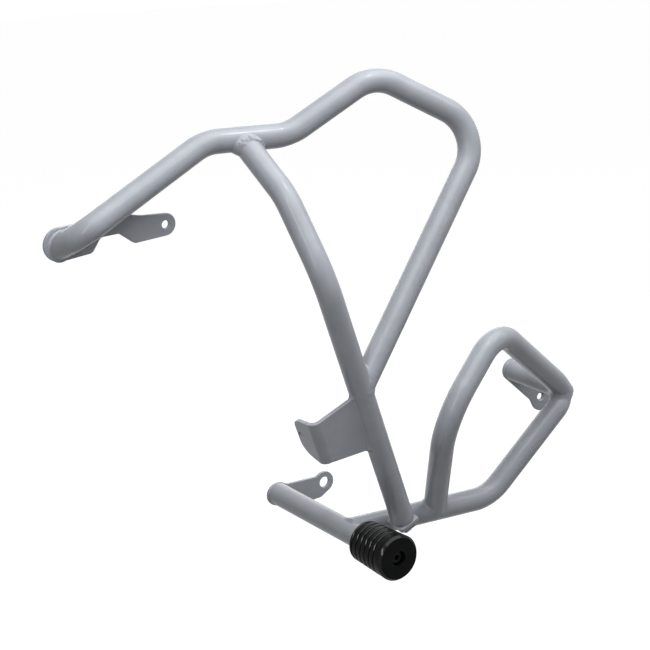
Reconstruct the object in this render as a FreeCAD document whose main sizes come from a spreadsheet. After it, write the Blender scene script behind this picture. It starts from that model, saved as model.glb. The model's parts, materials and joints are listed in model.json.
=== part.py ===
"""Left-hand motorcycle crash bar: a welded frame of bent steel tube with an impact slider.

Lengths are in millimetres.  +X points to the rear of the motorcycle, -Y points outward
from its left side and +Z points up.  The origin is the centre of the bolt hole in the
lower inner bracket, on the face that seats against the engine.
"""
import FreeCAD
import Part
import math
import os
import re
import Sketcher
from FreeCAD import Placement, Rotation, Vector

# Driving dimensions.  A place is measured from the origin unless its name says otherwise.
DIMENSIONS = {
    # Tube, weld beads and the gap between pieces that slide into each other.
    "tube_diameter": 26.9,
    "tube_wall": 2.0,
    "weld_leg": 2.5,
    "plate_weld_leg": 0.8,
    "slip_gap": 0.2,
    "thread_gap": 0.05,
    # Upper hoop: from the front bracket over the tank side and down to the down tube.
    "front_end_x": -370.0,
    "front_end_z": 361.0,
    "front_end_drop": 6.0,
    "front_seat_y": -64.0,
    "front_bend_ahead": 5.0,
    "front_bend_outboard": 36.0,
    "front_bend_rise": 13.0,
    "front_bend_radius": 28.0,
    "hoop_front_x": -214.0,
    "hoop_front_y": -93.0,
    "hoop_front_z": 453.0,
    "hoop_front_radius": 60.0,
    "hoop_middle_x": -122.0,
    "hoop_middle_y": -113.0,
    "hoop_middle_z": 455.0,
    "hoop_middle_radius": 63.0,
    "hoop_peak_x": -21.0,
    "hoop_peak_y": -129.0,
    "hoop_peak_z": 514.0,
    "hoop_peak_radius": 52.0,
    "hoop_rear_x": 106.0,
    "hoop_rear_y": -164.0,
    "hoop_rear_z": 447.0,
    "hoop_rear_radius": 46.0,
    "hoop_end_distance": 150.0,
    # Down tube: from the hoop's level run to the foot plate beside the rail.
    "down_top_distance": 43.3,
    "down_top_inboard": 1.7,
    "down_top_drop": 2.3,
    "down_shoulder_x": -161.8,
    "down_shoulder_y": -166.7,
    "down_shoulder_z": 402.3,
    "down_shoulder_radius": 88.0,
    "down_waist_x": -148.7,
    "down_waist_y": -219.0,
    "down_waist_z": 322.0,
    "down_waist_radius": 76.0,
    "down_foot_x": -12.7,
    "down_foot_z": 12.0,
    "down_foot_outboard": 26.0,
    # Lower bar: cross tube, rail with its upturned rear end, and the bulging loop.
    "cross_tube_x": -68.0,
    "rail_y": -153.0,
    "rail_start_z": 3.0,
    "rail_bend_x": 136.0,
    "rail_bend_z": -1.0,
    "rail_bend_radius": 53.0,
    "rail_top_x": 252.0,
    "rail_top_outboard": 9.0,
    "rail_top_z": 113.0,
    "rail_top_radius": 28.0,
    "rear_seat_y": -52.0,
    "loop_foot_distance": 122.0,
    "loop_front_x": 7.0,
    "loop_front_y": -229.0,
    "loop_front_z": 140.0,
    "loop_front_radius": 67.0,
    "loop_top_x": 94.0,
    "loop_top_y": -210.0,
    "loop_top_z": 227.0,
    "loop_top_radius": 44.0,
    "loop_landing_offset": 6.0,
    "loop_landing_slide": 4.0,
    # Front bracket: a notched strap from the hoop's end to its bolt hole.
    "front_plate": 4.0,
    "front_ring_radius": 18.2,
    "front_ring_ahead": 4.0,
    "front_ring_drop": 2.3,
    "front_lobe_reach": 28.5,
    "front_lobe_drop": 16.6,
    "front_lobe_radius": 8.0,
    "front_notch_start": 46.5,
    "front_notch_end": 63.0,
    "front_notch_rise": 0.5,
    "front_notch_radius": 6.0,
    "front_web_reach": 85.0,
    "front_web_drop": 12.0,
    "front_web_radius": 7.0,
    "front_hole_reach": 120.6,
    "front_hole_rise": 3.6,
    "front_hole_diameter": 9.0,
    "front_hole_ring": 12.3,
    "front_hollow_reach": 94.0,
    "front_hollow_rise": 17.0,
    "front_hollow_radius": 20.0,
    "front_crest_reach": 70.0,
    "front_crest_rise": 21.0,
    "front_crest_radius": 12.0,
    # Lower inner bracket: a plate on the cross tube's inner end.
    "inner_plate": 4.0,
    "inner_hole_diameter": 13.5,
    "inner_hole_ring": 13.3,
    "inner_tube_ring": 13.9,
    "inner_tube_drop": 1.4,
    "inner_front_reach": 18.0,
    "inner_front_radius": 12.0,
    "inner_front_drop": 22.0,
    "inner_rear_reach": 8.0,
    "inner_rear_radius": 10.0,
    "inner_rear_drop": 19.0,
    "inner_hollow_radius": 5.0,
    "inner_hollow_reach": 12.8,
    "inner_saddle_reach": 17.0,
    "inner_top_rise": 8.8,
    # Rear bracket: a strap down from the rail's rear end to its bolt hole.
    "rear_plate": 4.0,
    "rear_ring_radius": 14.2,
    "rear_hole_behind": 48.3,
    "rear_hole_below": 44.5,
    "rear_hole_diameter": 8.5,
    "rear_recess_diameter": 11.0,
    "rear_recess_depth": 1.5,
    "rear_lobe_reach": 2.1,
    "rear_lobe_drop": 3.8,
    "rear_lobe_radius": 15.0,
    "rear_waist_reach": 23.9,
    "rear_waist_drop": 8.5,
    "rear_waist_radius": 10.0,
    # Middle bracket: a folded plate welded to the front of the down tube.
    "mid_plate": 5.0,
    "mid_top_distance": 151.5,
    "mid_fold_reach": 66.0,
    "mid_fold_height": 56.0,
    "mid_fold_radius": 6.0,
    "mid_root_height": 78.0,
    "mid_flap_reach": 36.4,
    "mid_flap_top_drop": 4.6,
    "mid_flap_top_radius": 10.0,
    "mid_flap_low_reach": 18.0,
    "mid_flap_low_drop": 34.5,
    "mid_flap_low_radius": 18.3,
    "mid_hole_reach": 30.5,
    "mid_hole_drop": 25.0,
    "mid_hole_diameter": 6.6,
    # Foot joint: the down tube bolted through its plate to the tab on the rail.
    "foot_plate_width": 27.0,
    "foot_plate_depth": 28.6,
    "foot_plate_thickness": 4.0,
    "foot_plate_corner": 3.0,
    "foot_insert_length": 16.0,
    "tab_width": 17.0,
    "tab_thickness": 5.0,
    "tab_outboard": 12.5,
    "tab_corner": 2.0,
    "joint_bolt_diameter": 8.0,
    "joint_bolt_length": 22.0,
    "joint_head_flats": 13.0,
    "joint_head_height": 5.3,
    "joint_washer_diameter": 16.0,
    "joint_washer_thickness": 1.6,
    # Impact slider on the cross tube's outer end.
    "slider_stand_off": 31.8,
    "slider_length": 61.7,
    "slider_diameter": 53.4,
    "slider_taper": 3.1,
    "slider_back_round": 1.0,
    "slider_face_round": 3.0,
    "slider_groove_count": 6.0,
    "slider_groove_start": 4.4,
    "slider_groove_pitch": 8.6,
    "slider_groove_width": 2.6,
    "slider_groove_depth": 2.2,
    "slider_tube_depth": 30.0,
    "slider_recess_diameter": 17.0,
    "slider_recess_depth": 14.0,
    "slider_bolt_diameter": 8.0,
    "slider_bolt_length": 35.0,
    "slider_head_diameter": 13.0,
    "slider_head_height": 8.0,
    "slider_key_flats": 6.0,
    "slider_key_depth": 4.0,
    "slider_sleeve_diameter": 14.0,
    "slider_washer_thickness": 1.6,
    "slider_plug_length": 20.0,
    "slider_plug_collar": 3.0,
}

document = FreeCAD.newDocument("CrashBar")


def make_sheet():
    """Fill the spreadsheet: a name in column A and its number in column B, under that alias."""
    page = document.addObject("Spreadsheet::Sheet", "Sizes")
    for row, (alias, number) in enumerate(DIMENSIONS.items(), start=1):
        page.set(f"A{row}", alias)
        page.set(f"B{row}", str(number))
        page.setAlias(f"B{row}", alias)
    document.recompute()
    return page


sheet = make_sheet()


def size(alias):
    """A driving dimension, read back from the spreadsheet."""
    return float(sheet.get(alias))


def amount(formula):
    """The value of a sum of products, such as 'rail_y - tube_diameter / 2'."""
    total = 0.0
    for term in formula.replace(" - ", " + -").split(" + "):
        value = -1.0 if term.startswith("-") else 1.0
        for factor in term.lstrip("-").split(" * "):
            above, *below = factor.split(" / ")
            value *= number(above)
            for word in below:
                value /= number(word)
        total += value
    return total


def half(formula):
    """Half of a sum, term by term."""
    return formula.replace(" + ", " / 2 + ").replace(" - ", " / 2 - ") + " / 2"


def number(word):
    """One word of a formula: a dimension's alias or a plain number."""
    return size(word) if word in DIMENSIONS else float(word)


def bind(item, name, formula):
    """Tie a property to the sheet, where each alias in the formula is looked up."""
    words = re.split(r"([a-z_]+)", formula)
    item.setExpression(name, "".join("Sizes." + w if w in DIMENSIONS else w for w in words))


def place(origin, x_axis=None, z_axis=None):
    """The placement at a point whose local X and Z directions are given."""
    if z_axis is None:
        return Placement(origin, Rotation())
    if x_axis is None:
        return Placement(origin, Rotation(Vector(0, 0, 1), z_axis))
    return Placement(origin, Rotation(x_axis, Vector(), z_axis, "ZXY"))


# Outlines


def tangent_points(one, two):
    """Where the straight edge leaves one corner circle and reaches the next.

    A corner is (centre, radius, turn), with turn +1 for an outer corner and -1 for a hollow
    one, and the outline runs counter-clockwise.
    """
    (centre, radius, turn), (centre_two, radius_two, turn_two) = one, two
    signed, signed_two = radius * turn, radius_two * turn_two
    across = centre_two - centre
    lean = math.asin((signed - signed_two) / across.Length)
    heading = math.atan2(across.y, across.x) + lean
    right = Vector(math.sin(heading), -math.cos(heading), 0)
    return centre + right * signed, centre_two + right * signed_two


def draw_outline(sketch, corners):
    """Draw tangent arcs and lines round the corners and bind each centre and radius.

    Each corner is (x formula, y formula, radius formula, turn).  A radius of None is a sharp
    corner.
    """
    rounds = []
    for x, y, radius, turn in corners:
        centre = Vector(amount(x), amount(y), 0)
        rounds.append((centre, amount(radius) if radius else 0.0, turn))
    count = len(corners)
    edges = [tangent_points(rounds[i], rounds[(i + 1) % count]) for i in range(count)]
    lines = [sketch.addGeometry(Part.LineSegment(*edge), False) for edge in edges]
    for i, (x, y, radius, turn) in enumerate(corners):
        before, after = lines[i - 1], lines[i]
        label = f"corner_{len(sketch.Constraints)}"
        if radius is None:
            sketch.addConstraint(Sketcher.Constraint("Coincident", before, 2, after, 1))
            locate(sketch, (after, 1), x, y, label)
            continue
        centre, length, _ = rounds[i]
        start, end = edges[i - 1][1], edges[i][0]
        first, last = (start, end) if turn > 0 else (end, start)
        angles = [math.atan2(p.y - centre.y, p.x - centre.x) for p in (first, last)]
        circle = Part.Circle(centre, Vector(0, 0, 1), length)
        arc = sketch.addGeometry(Part.ArcOfCircle(circle, *angles), False)
        near, far = (1, 2) if turn > 0 else (2, 1)
        sketch.addConstraint(Sketcher.Constraint("Tangent", before, 2, arc, near))
        sketch.addConstraint(Sketcher.Constraint("Tangent", arc, far, after, 1))
        limit_radius(sketch, arc, radius, label + "_radius")
        locate(sketch, (arc, 3), x, y, label)


def limit_radius(sketch, curve, formula, label):
    """Give an arc or circle its bound radius."""
    at = sketch.addConstraint(Sketcher.Constraint("Radius", curve, amount(formula)))
    sketch.renameConstraint(at, label)
    bind(sketch, "Constraints." + label, formula)


def locate(sketch, point, x, y, label):
    """Hold a sketch point at bound distances from the sketch's origin."""
    for kind, formula, ending in (("DistanceX", x, "_x"), ("DistanceY", y, "_y")):
        rule = Sketcher.Constraint(kind, -1, 1, point[0], point[1], amount(formula))
        at = sketch.addConstraint(rule)
        sketch.renameConstraint(at, label + ending)
        bind(sketch, "Constraints." + label + ending, formula)


def draw_hole(sketch, x, y, diameter, label):
    """A round hole, bound in place and size."""
    circle = Part.Circle(Vector(amount(x), amount(y), 0), Vector(0, 0, 1), amount(diameter) / 2)
    hole = sketch.addGeometry(circle, False)
    limit_radius(sketch, hole, half(diameter), label + "_radius")
    locate(sketch, (hole, 3), x, y, label)


def new_sketch(body, role, name):
    """A sketch on one of the body's own origin planes."""
    plane = next(f for f in body.Origin.OriginFeatures if f.Role == role)
    sketch = body.newObject("Sketcher::SketchObject", name)
    sketch.AttachmentSupport = [(plane, "")]
    sketch.MapMode = "FlatFace"
    return sketch


def plate_body(name, corners, thickness, holes=(), role="XZ_Plane", both_ways=False):
    """A flat plate with an outline of arcs and lines and round holes, as a padded sketch."""
    body = document.addObject("PartDesign::Body", name)
    sketch = new_sketch(body, role, name + "_outline")
    draw_outline(sketch, corners)
    for at, (x, y, diameter) in enumerate(holes):
        draw_hole(sketch, x, y, diameter, f"hole_{at}")
    pad = body.newObject("PartDesign::Pad", name + "_pad")
    pad.Profile = sketch
    bind(pad, "Length", thickness)
    pad.Midplane = both_ways
    sketch.Visibility = False
    return body


# Solids


def cylinder(name, diameter, length, placement):
    """A round bar along the placement's Z direction."""
    item = document.addObject("Part::Cylinder", name)
    bind(item, "Radius", f"({diameter}) / 2")
    bind(item, "Height", length)
    item.Placement = placement
    return item


def hexagon(name, flats, length, placement):
    """A six-sided bar measured across its flats."""
    item = document.addObject("Part::Prism", name)
    item.Polygon = 6
    bind(item, "Circumradius", f"{flats} / sqrt(3)")
    bind(item, "Height", length)
    item.Placement = placement
    return item


def cut(name, base, tools):
    """The base less every tool."""
    result = document.addObject("Part::Cut", name)
    result.Base = base
    result.Tool = tools[0] if len(tools) == 1 else fuse(name + "_tools", tools)
    return result


def fuse(name, items):
    """All the items as one solid."""
    result = document.addObject("Part::MultiFuse", name)
    result.Shapes = items
    return result


def common(name, items):
    """What all the items share."""
    result = document.addObject("Part::MultiCommon", name)
    result.Shapes = items
    return result


def ball(name, centre, radius):
    """A sphere that keeps one joint of a pair of tubes apart from their other joints."""
    item = document.addObject("Part::Sphere", name)
    bind(item, "Radius", radius)
    item.Placement = Placement(centre, Rotation())
    return item


# Bent tubes


def bend_ends(before, corner, after, radius):
    """Start, middle and end of the arc that rounds a corner of a tube's route."""
    inward = (corner - before).normalize()
    outward = (after - corner).normalize()
    turn = inward.getAngle(outward)
    trim = radius * math.tan(turn / 2)
    side = (outward - inward).normalize()
    middle = corner + side * (radius / math.cos(turn / 2) - radius)
    return corner - inward * trim, middle, corner + outward * trim


def route_wire(points, radii):
    """Straight runs joined by tangent arcs, the way a tube bender makes them."""
    edges = []
    start = points[0]
    for i, radius in enumerate(radii, start=1):
        first, middle, last = bend_ends(points[i - 1], points[i], points[i + 1], radius)
        edges.append(Part.LineSegment(start, first).toShape())
        edges.append(Part.Arc(first, middle, last).toShape())
        start = last
    edges.append(Part.LineSegment(start, points[-1]).toShape())
    return Part.Wire(edges)


class Tube:
    """A bent tube: its route, its full outer form, its bore and its form grown by the weld."""

    def __init__(self, name, points, bends=()):
        self.name = name
        self.points = points
        self.route = document.addObject("Part::Feature", name + "_route")
        self.route.Shape = route_wire(points, [size(bend) for bend in bends])
        self.outer = self.sweep("outer", "tube_diameter / 2")
        self.bore = self.sweep("bore", "tube_diameter / 2 - tube_wall")
        self.grown = self.sweep("grown", "tube_diameter / 2 + weld_leg")

    def heading(self, run=0):
        """The direction of one straight run."""
        return (self.points[run + 1] - self.points[run]).normalize()

    def sweep(self, ending, radius):
        """A circle of the given radius swept along the route."""
        ring = document.addObject("Part::Circle", f"{self.name}_{ending}_ring")
        bind(ring, "Radius", radius)
        ring.Placement = place(self.points[0], z_axis=self.heading())
        item = document.addObject("Part::Sweep", f"{self.name}_{ending}")
        item.Sections = [ring]
        item.Spine = (self.route, [])
        item.Solid = True
        item.Frenet = False
        item.Transition = "Transformed"
        return item

    def wall(self, coped_by):
        """The hollow tube, with its ends coped to the pieces that it is welded to."""
        return cut(self.name, self.outer, [self.bore] + coped_by)


def joint_weld(name, tube, other, centre):
    """The bead round a joint of two tubes: near both of them and inside neither."""
    near = ball(name + "_zone", centre, "tube_diameter * 1.3")
    band = common(name + "_band", [tube.grown, other.grown, near])
    return cut(name, band, [tube.outer, other.outer])


def plate_weld(name, tube, centre):
    """The bead round a tube's end on the flat outer face of its bracket."""
    slab = document.addObject("Part::Box", name + "_slab")
    bind(slab, "Length", "tube_diameter * 3")
    bind(slab, "Width", "plate_weld_leg")
    bind(slab, "Height", "tube_diameter * 3")
    corner = point("-tube_diameter * 1.5", "-plate_weld_leg", "-tube_diameter * 1.5")
    slab.Placement = Placement(centre + corner, Rotation())
    bead = tube.sweep("bead", "tube_diameter / 2 + plate_weld_leg")
    band = common(name + "_band", [bead, slab])
    return cut(name, band, [tube.outer])


# Routes, worked out from the sheet


def point(x, y, z):
    """A point whose three places are formulas."""
    return Vector(amount(x), amount(y), amount(z))


front_face_y = "front_seat_y - front_plate"
rear_face_y = "rear_seat_y - rear_plate"
front_end = point("front_end_x", front_face_y, "front_end_z - front_end_drop")
front_bend = point(
    "front_end_x + front_bend_ahead",
    "front_seat_y - front_bend_outboard",
    "front_end_z + front_bend_rise",
)
front_run = (front_bend - front_end).normalize()
hoop_front = point("hoop_front_x", "hoop_front_y", "hoop_front_z")
hoop_middle = point("hoop_middle_x", "hoop_middle_y", "hoop_middle_z")
hoop_peak = point("hoop_peak_x", "hoop_peak_y", "hoop_peak_z")
hoop_rear = point("hoop_rear_x", "hoop_rear_y", "hoop_rear_z")

down_top = (hoop_front + (hoop_middle - hoop_front).normalize() * size("down_top_distance")
            + point("0", "down_top_inboard", "-down_top_drop"))
down_shoulder = point("down_shoulder_x", "down_shoulder_y", "down_shoulder_z")
down_waist = point("down_waist_x", "down_waist_y", "down_waist_z")
down_foot = point("down_foot_x", "rail_y - down_foot_outboard", "down_foot_z")
down_run = (down_foot - down_waist).normalize()
hoop_end = down_waist + down_run * size("hoop_end_distance")

cross_inner = point("cross_tube_x", "-inner_plate", "0")
slider_back_y = "rail_y - slider_stand_off"
cross_outer = point("cross_tube_x", slider_back_y + " - slider_tube_depth", "0")
rail_start = point("cross_tube_x", "rail_y", "rail_start_z")
rail_bend = point("rail_bend_x", "rail_y", "rail_bend_z")
rail_top = point("rail_top_x", "rail_y - rail_top_outboard", "rail_top_z")
rail_end = point("rail_top_x", rear_face_y, "rail_top_z")
top_arc = bend_ends(rail_bend, rail_top, rail_end, size("rail_top_radius"))[1]
loop_foot = rail_start + (rail_bend - rail_start).normalize() * size("loop_foot_distance")
loop_front = point("loop_front_x", "loop_front_y", "loop_front_z")
loop_top = point("loop_top_x", "loop_top_y", "loop_top_z")
along_bend = ((rail_top - rail_bend).normalize() + (rail_end - rail_top).normalize()).normalize()
loop_end = (top_arc + (rail_top - top_arc).normalize() * size("loop_landing_offset")
            + along_bend * size("loop_landing_slide"))

hoop = Tube(
    "hoop_tube",
    [front_end - front_run * size("tube_diameter"), front_bend, hoop_front, hoop_middle,
     hoop_peak, hoop_rear, hoop_end],
    ["front_bend_radius", "hoop_front_radius", "hoop_middle_radius", "hoop_peak_radius",
     "hoop_rear_radius"],
)
down = Tube(
    "down_tube",
    [down_top, down_shoulder, down_waist, down_foot],
    ["down_shoulder_radius", "down_waist_radius"],
)
cross = Tube("cross_tube", [cross_inner, cross_outer])
rail = Tube(
    "rail_tube",
    [rail_start, rail_bend, rail_top, rail_end],
    ["rail_bend_radius", "rail_top_radius"],
)
loop = Tube(
    "loop_tube",
    [loop_foot, loop_front, loop_top, loop_end],
    ["loop_front_radius", "loop_top_radius"],
)


def seat_block():
    """The space inboard of the front bracket's outer face, which trims the slanting hoop end."""
    block = document.addObject("Part::Box", "front_trim")
    for side in ("Length", "Width", "Height"):
        bind(block, side, "tube_diameter * 4")
    middle = size("tube_diameter") * 2
    block.Placement = Placement(front_end - Vector(middle, 0, middle), Rotation())
    return block


# Brackets


def make_front_bracket():
    """A notched strap that carries the hoop's front end."""
    corners = [
        ("-front_ring_ahead", "-front_ring_drop", "front_ring_radius", 1),
        ("front_lobe_reach", "front_lobe_radius - front_lobe_drop", "front_lobe_radius", 1),
        ("front_notch_start", "-front_notch_rise - front_notch_radius", "front_notch_radius", -1),
        ("front_notch_end", "front_notch_rise - front_notch_radius", "front_notch_radius", -1),
        ("front_web_reach", "front_web_radius - front_web_drop", "front_web_radius", 1),
        ("front_hole_reach", "front_hole_rise", "front_hole_ring", 1),
        ("front_hollow_reach", "front_hollow_rise + front_hollow_radius",
         "front_hollow_radius", -1),
        ("front_crest_reach", "front_crest_rise - front_crest_radius", "front_crest_radius", 1),
    ]
    holes = [("front_hole_reach", "front_hole_rise", "front_hole_diameter")]
    body = plate_body("front_bracket", corners, "front_plate", holes)
    body.Placement = place(point("front_end_x", "front_seat_y", "front_end_z"))
    return body


def make_inner_bracket():
    """The plate on the cross tube's inner end, with the lower engine bolt's hole."""
    hollow_z = "inner_top_rise + inner_hollow_radius"
    corners = [
        ("cross_tube_x", "-inner_tube_drop", "inner_tube_ring", 1),
        ("cross_tube_x + inner_front_reach", "inner_front_radius - inner_front_drop",
         "inner_front_radius", 1),
        ("-inner_rear_reach", "inner_rear_radius - inner_rear_drop", "inner_rear_radius", 1),
        ("0", "0", "inner_hole_ring", 1),
        ("-inner_hollow_reach", hollow_z, "inner_hollow_radius", -1),
        ("cross_tube_x + inner_saddle_reach", hollow_z, "inner_hollow_radius", -1),
    ]
    return plate_body("inner_bracket", corners, "inner_plate", [("0", "0", "inner_hole_diameter")])


def make_rear_bracket():
    """The strap that drops from the rail's rear end to its bolt hole."""
    corners = [
        ("0", "0", "rear_ring_radius", 1),
        ("rear_hole_behind - rear_waist_reach", "-rear_hole_below - rear_waist_drop",
         "rear_waist_radius", -1),
        ("rear_hole_behind + rear_lobe_reach", "-rear_hole_below - rear_lobe_drop",
         "rear_lobe_radius", 1),
    ]
    holes = [("rear_hole_behind", "-rear_hole_below", "rear_hole_diameter")]
    body = plate_body("rear_bracket_plate", corners, "rear_plate", holes)
    body.Placement = place(point("rail_top_x", "rear_seat_y", "rail_top_z"))
    recess = cylinder("rear_recess", "rear_recess_diameter", "rear_recess_depth", place(
        point("rail_top_x + rear_hole_behind", "rear_seat_y - rear_plate",
              "rail_top_z - rear_hole_below"), z_axis=Vector(0, 1, 0)))
    return cut("rear_bracket", body, [recess])


def make_mid_bracket():
    """A folded plate whose flap points inboard, coped to the front of the down tube.

    Its local X runs forward from the tube's axis, Y inboard and Z down along the tube.
    """
    bend_x, bend_y = "mid_fold_reach - mid_fold_radius", "mid_fold_radius + mid_plate / 2"
    fold = document.addObject("PartDesign::Body", "mid_fold")
    profile = new_sketch(fold, "XY_Plane", "mid_fold_profile")
    draw_outline(profile, [
        ("0", "-mid_plate / 2", None, 1),
        (bend_x, bend_y, "mid_fold_radius + mid_plate", 1),
        ("mid_fold_reach + mid_plate", "mid_flap_reach", None, 1),
        ("mid_fold_reach", "mid_flap_reach", None, 1),
        (bend_x, bend_y, "mid_fold_radius", -1),
        ("0", "mid_plate / 2", None, 1),
    ])
    pad = fold.newObject("PartDesign::Pad", "mid_fold_pad")
    pad.Profile = profile
    bind(pad, "Length", "mid_root_height")
    face = plate_body("mid_face", [
        ("0", "0", None, 1),
        ("mid_fold_reach * 2", "0", None, 1),
        ("mid_fold_reach * 2", "mid_fold_height", None, 1),
        ("mid_fold_reach - mid_fold_radius", "mid_fold_height", None, 1),
        ("0", "mid_root_height", None, 1),
    ], "mid_flap_reach * 3", both_ways=True)
    flap = plate_body("mid_flap", [
        ("-mid_flap_reach", "0", None, 1),
        ("mid_plate", "0", None, 1),
        ("mid_flap_reach - mid_flap_top_radius", "mid_flap_top_drop + mid_flap_top_radius",
         "mid_flap_top_radius", 1),
        ("mid_flap_low_reach", "mid_flap_low_drop", "mid_flap_low_radius", 1),
        ("mid_plate", "mid_fold_height - mid_plate / 2", None, 1),
        ("mid_plate", "mid_root_height", None, 1),
        ("-mid_flap_reach", "mid_root_height", None, 1),
    ], "mid_fold_reach * 2", role="YZ_Plane")
    hole = cylinder("mid_hole", "mid_hole_diameter", "mid_plate * 3", MID_FRAME.multiply(
        place(point("mid_fold_reach - mid_plate", "mid_hole_reach", "mid_hole_drop"),
              z_axis=Vector(1, 0, 0))))
    for item in (fold, face, flap):
        item.Placement = MID_FRAME
    return cut("mid_bracket", common("mid_bracket_blank", [fold, face, flap]), [hole, down.outer])


def make_mid_weld(bracket):
    """The bead along both sides of the middle bracket's root and round its ends."""
    start = point("tube_diameter / 2", "0", "-weld_leg")
    bead = cylinder("mid_bead", "mid_plate + weld_leg", "mid_root_height + weld_leg",
                    MID_FRAME.multiply(place(start)))
    return cut("mid_bracket_weld", bead, [down.outer, bracket])


# Foot joint.  Its local X runs rearward, Y inboard and Z up along the down tube.


def foot_level(depth):
    """The foot joint's frame, lowered along the down tube by a bound depth."""
    base = down_foot + down_run * amount(depth)
    return place(base, x_axis=-reach_direction, z_axis=-down_run)


def make_foot_plate():
    """The rounded plate between the down tube's foot and the tab."""
    across = "foot_plate_width / 2 - foot_plate_corner"
    inboard = "foot_plate_depth / 2 - foot_plate_corner"
    outboard = "-foot_plate_depth / 2 + foot_plate_corner"
    corner = "foot_plate_corner"
    body = plate_body("foot_plate_blank", [
        ("-foot_plate_width / 2 + foot_plate_corner", outboard, corner, 1),
        (across, outboard, corner, 1),
        (across, inboard, corner, 1),
        ("-foot_plate_width / 2 + foot_plate_corner", inboard, corner, 1),
    ], "foot_plate_thickness", [("0", "0", BOLT_HOLE)], role="XY_Plane")
    body.Placement = foot_level("foot_plate_thickness")
    return cut("foot_plate", body, [rail.outer])


def make_tab():
    """The tab that reaches out from the rail's side under the foot plate, before it is coped."""
    outboard, inboard = "tab_corner - tab_outboard", "down_foot_outboard - tube_diameter / 5"
    body = plate_body("rail_tab_blank", [
        ("-tab_width / 2 + tab_corner", outboard, "tab_corner", 1),
        ("tab_width / 2 - tab_corner", outboard, "tab_corner", 1),
        ("tab_width / 2", inboard, None, 1),
        ("-tab_width / 2", inboard, None, 1),
    ], "tab_thickness", [("0", "0", BOLT_HOLE)], role="XY_Plane")
    body.Placement = foot_level("foot_plate_thickness + tab_thickness")
    return body


def make_tab_weld(tab):
    """The bead round the tab where it meets the rail."""
    blank = document.addObject("Part::Box", "tab_bead_block")
    bind(blank, "Length", "tab_width + weld_leg * 1.5")
    bind(blank, "Width", "tube_diameter")
    bind(blank, "Height", "tab_thickness + weld_leg * 0.75")
    corner = point("-tab_width / 2 - weld_leg * 0.75",
                   "down_foot_outboard - tube_diameter * 0.75", "-weld_leg * 0.75")
    blank.Placement = foot_level("foot_plate_thickness + tab_thickness").multiply(place(corner))
    bead = common("tab_bead", [blank, rail.grown])
    return cut("rail_tab_weld", bead, [rail.outer, tab, foot_plate])


def make_joint_pieces():
    """The threaded insert in the tube's foot, and the bolt and washer under the tab."""
    stack = "foot_plate_thickness + tab_thickness"
    under = stack + " + joint_washer_thickness"
    thread = "joint_bolt_diameter + thread_gap * 2"
    plug = cylinder("foot_plug", "tube_diameter - tube_wall * 2", "foot_insert_length",
                    foot_level("0"))
    insert = cut("foot_insert", plug,
                 [cylinder("foot_thread", thread, "foot_insert_length", foot_level("0"))])
    disc = cylinder("joint_disc", "joint_washer_diameter", "joint_washer_thickness",
                    foot_level(under))
    washer = cut("joint_washer", disc, [cylinder(
        "joint_washer_hole", "joint_bolt_diameter + slip_gap * 2", "joint_washer_thickness",
        foot_level(under))])
    shank = cylinder("joint_shank", "joint_bolt_diameter", "joint_bolt_length",
                     foot_level(under))
    head = hexagon("joint_head", "joint_head_flats", "joint_head_height",
                   foot_level(under + " + joint_head_height"))
    return insert, washer, fuse("joint_bolt", [head, shank])


# Impact slider.  Its local Z runs outboard from the slider's back face.


def slider_level(height):
    """The slider's frame, moved outboard along its axis by a bound height."""
    base = point("cross_tube_x", slider_back_y, "0")
    return place(base - Vector(0, amount(height), 0), z_axis=Vector(0, -1, 0))


def ring(name, outside, inside, length, height):
    """A round sleeve or washer on the slider's axis."""
    level = slider_level(height)
    return cut(name, cylinder(name + "_disc", outside, length, level),
               [cylinder(name + "_hole", inside, length, level)])


def make_slider_puck():
    """The grooved plastic slider: a tapered turned body, bored for the tube, sleeve and bolt."""
    body = document.addObject("PartDesign::Body", "slider_body")
    sketch = new_sketch(body, "XZ_Plane", "slider_profile")
    back = "slider_diameter / 2 - slider_taper"
    profile = [
        ("0", "0", None, 1),
        (back + " - slider_back_round", "slider_back_round", "slider_back_round", 1),
    ]
    for turn in range(int(size("slider_groove_count"))):
        middle = f"slider_groove_start + slider_groove_pitch * {turn}"
        rim = (f"{back} + slider_taper * slider_groove_start / slider_length"
               f" + slider_taper * slider_groove_pitch * {turn} / slider_length")
        floor = rim + " - slider_groove_depth"
        profile += [
            (rim, middle + " - slider_groove_width / 2", None, 1),
            (floor, middle + " - slider_groove_width / 3", None, 1),
            (floor, middle + " + slider_groove_width / 3", None, 1),
            (rim, middle + " + slider_groove_width / 2", None, 1),
        ]
    profile += [
        ("slider_diameter / 2 - slider_face_round", "slider_length - slider_face_round",
         "slider_face_round", 1),
        ("0", "slider_length", None, 1),
    ]
    draw_outline(sketch, profile)
    turned = body.newObject("PartDesign::Revolution", "slider_turning")
    turned.Profile = sketch
    turned.ReferenceAxis = (sketch, ["V_Axis"])
    turned.Angle = 360.0
    body.Placement = slider_level("0")
    socket = "slider_tube_depth + slider_plug_collar"
    tools = [
        cylinder("slider_socket", "tube_diameter + slip_gap * 2", socket, slider_level("0")),
        cylinder("slider_bore", "slider_sleeve_diameter + slip_gap * 2", "slider_length",
                 slider_level("0")),
        cylinder("slider_recess", "slider_recess_diameter", "slider_recess_depth",
                 slider_level("slider_length - slider_recess_depth")),
    ]
    return cut("slider_puck", body, tools)


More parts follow.
